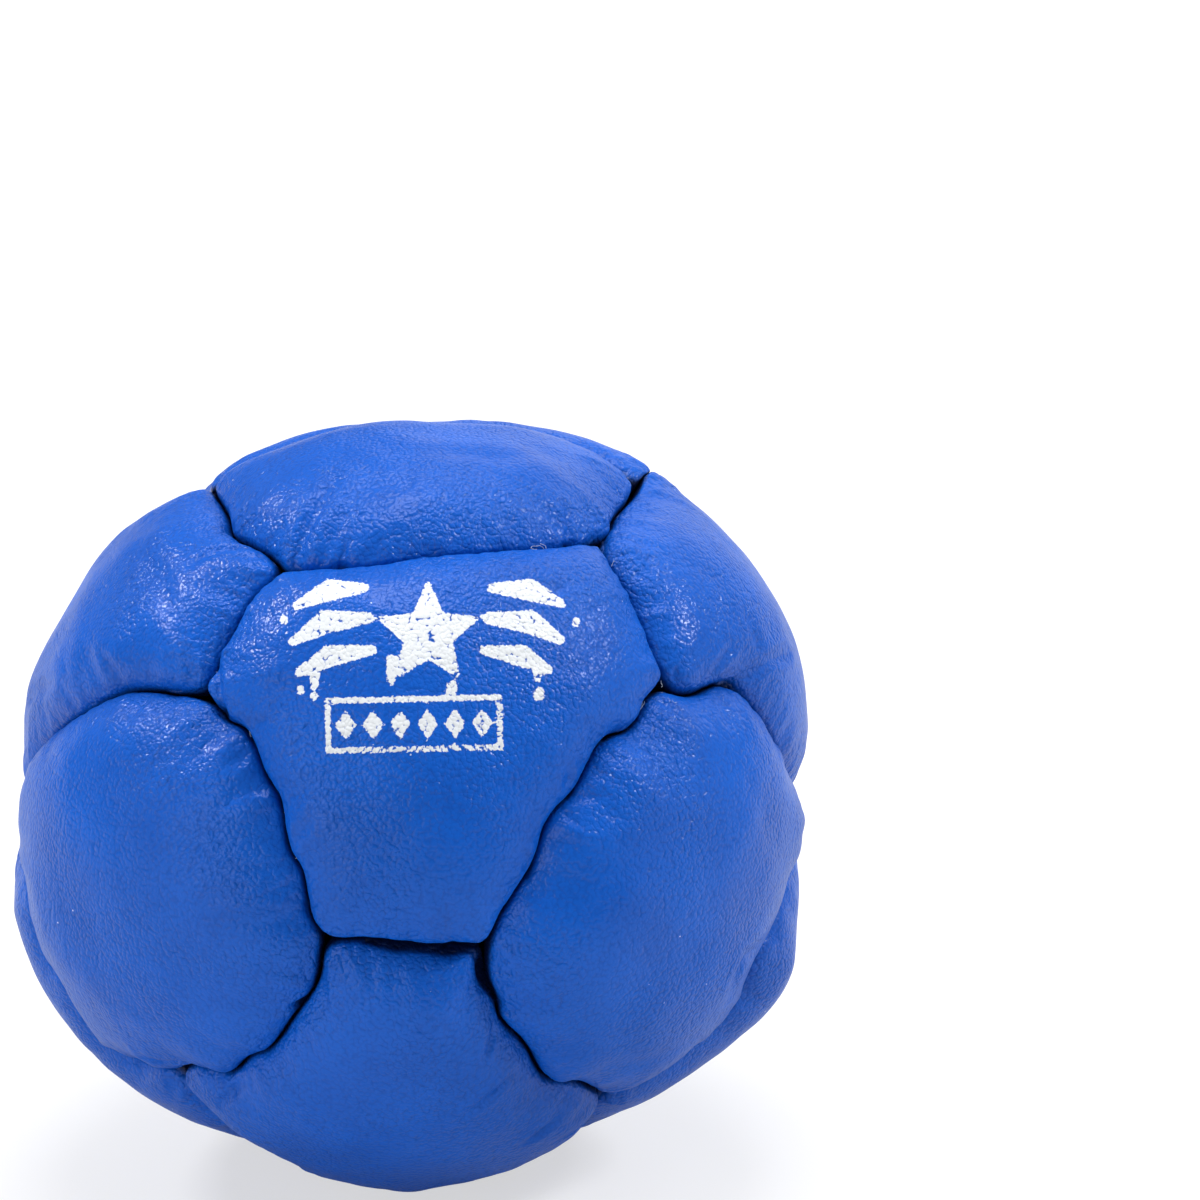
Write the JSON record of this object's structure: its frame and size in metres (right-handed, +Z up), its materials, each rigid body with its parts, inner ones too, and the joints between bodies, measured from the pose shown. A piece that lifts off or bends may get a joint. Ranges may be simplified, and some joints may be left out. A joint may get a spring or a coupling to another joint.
{
  "type": "footbag",
  "caption": "Soft blue leather footbag sewn from four-sided and six-sided panels and filled with loose pellets.",
  "frame": {"origin": "middle of the flat patch that the ball rests on, on the underside of the bottom panel", "axes": "+Z up through the top panel, -Y towards the front six-sided panels, +X to the right seen from the front"},
  "size_m": [0.0577, 0.0557, 0.0557],
  "materials": {
    "leather": "fine-grained, semi-gloss",
    "thread": "waxed thread, matte",
    "pellets": "smooth pellets"
  },
  "bodies": {
    "root": {"hexagon_panel_lower_back": "leather", "hexagon_panel_lower_front": "leather", "hexagon_panel_lower_left": "leather", "hexagon_panel_lower_right": "leather", "hexagon_panel_upper_back": "leather", "hexagon_panel_upper_front": "leather", "hexagon_panel_upper_left": "leather", "hexagon_panel_upper_right": "leather", "pellet_filling": "pellets", "seam_thread_bottom_back_left_to_bottom_back_right": "thread", "seam_thread_bottom_back_left_to_lower_back_left": "thread", "seam_thread_bottom_back_right_to_bottom_front_right": "thread", "seam_thread_bottom_back_right_to_lower_back_right": "thread", "seam_thread_bottom_front_left_to_bottom_back_left": "thread", "seam_thread_bottom_front_right_to_bottom_front_left": "thread", "seam_thread_bottom_front_right_to_lower_front_right": "thread", "seam_thread_lower_back_left_to_middle_left_before": "thread", "seam_thread_lower_back_right_to_middle_back_before": "thread", "seam_thread_lower_front_left_to_bottom_front_left": "thread", "seam_thread_lower_front_left_to_middle_front_before": "thread", "seam_thread_lower_front_right_to_middle_right_before": "thread", "seam_thread_middle_back_after_to_lower_back_left": "thread", "seam_thread_middle_back_before_to_middle_back_after": "thread", "seam_thread_middle_back_before_to_upper_back_right": "thread", "seam_thread_middle_front_after_to_lower_front_right": "thread", "seam_thread_middle_front_before_to_middle_front_after": "thread", "seam_thread_middle_front_before_to_upper_front_left": "thread", "seam_thread_middle_left_after_to_lower_front_left": "thread", "seam_thread_middle_left_before_to_middle_left_after": "thread", "seam_thread_middle_left_before_to_upper_back_left": "thread", "seam_thread_middle_right_after_to_lower_back_right": "thread", "seam_thread_middle_right_before_to_middle_right_after": "thread", "seam_thread_middle_right_before_to_upper_front_right": "thread", "seam_thread_top_back_left_to_top_front_left": "thread", "seam_thread_top_back_right_to_top_back_left": "thread", "seam_thread_top_front_left_to_top_front_right": "thread", "seam_thread_top_front_left_to_upper_front_left": "thread", "seam_thread_top_front_right_to_top_back_right": "thread", "seam_thread_upper_back_left_to_middle_back_after": "thread", "seam_thread_upper_back_left_to_top_back_left": "thread", "seam_thread_upper_back_right_to_middle_right_after": "thread", "seam_thread_upper_back_right_to_top_back_right": "thread", "seam_thread_upper_front_left_to_middle_left_after": "thread", "seam_thread_upper_front_right_to_middle_front_after": "thread", "seam_thread_upper_front_right_to_top_front_right": "thread", "square_panel_back_left": "leather", "square_panel_back_right": "leather", "square_panel_bottom": "leather", "square_panel_front_left": "leather", "square_panel_front_right": "leather", "square_panel_top": "leather"}
  },
  "joints": []
}
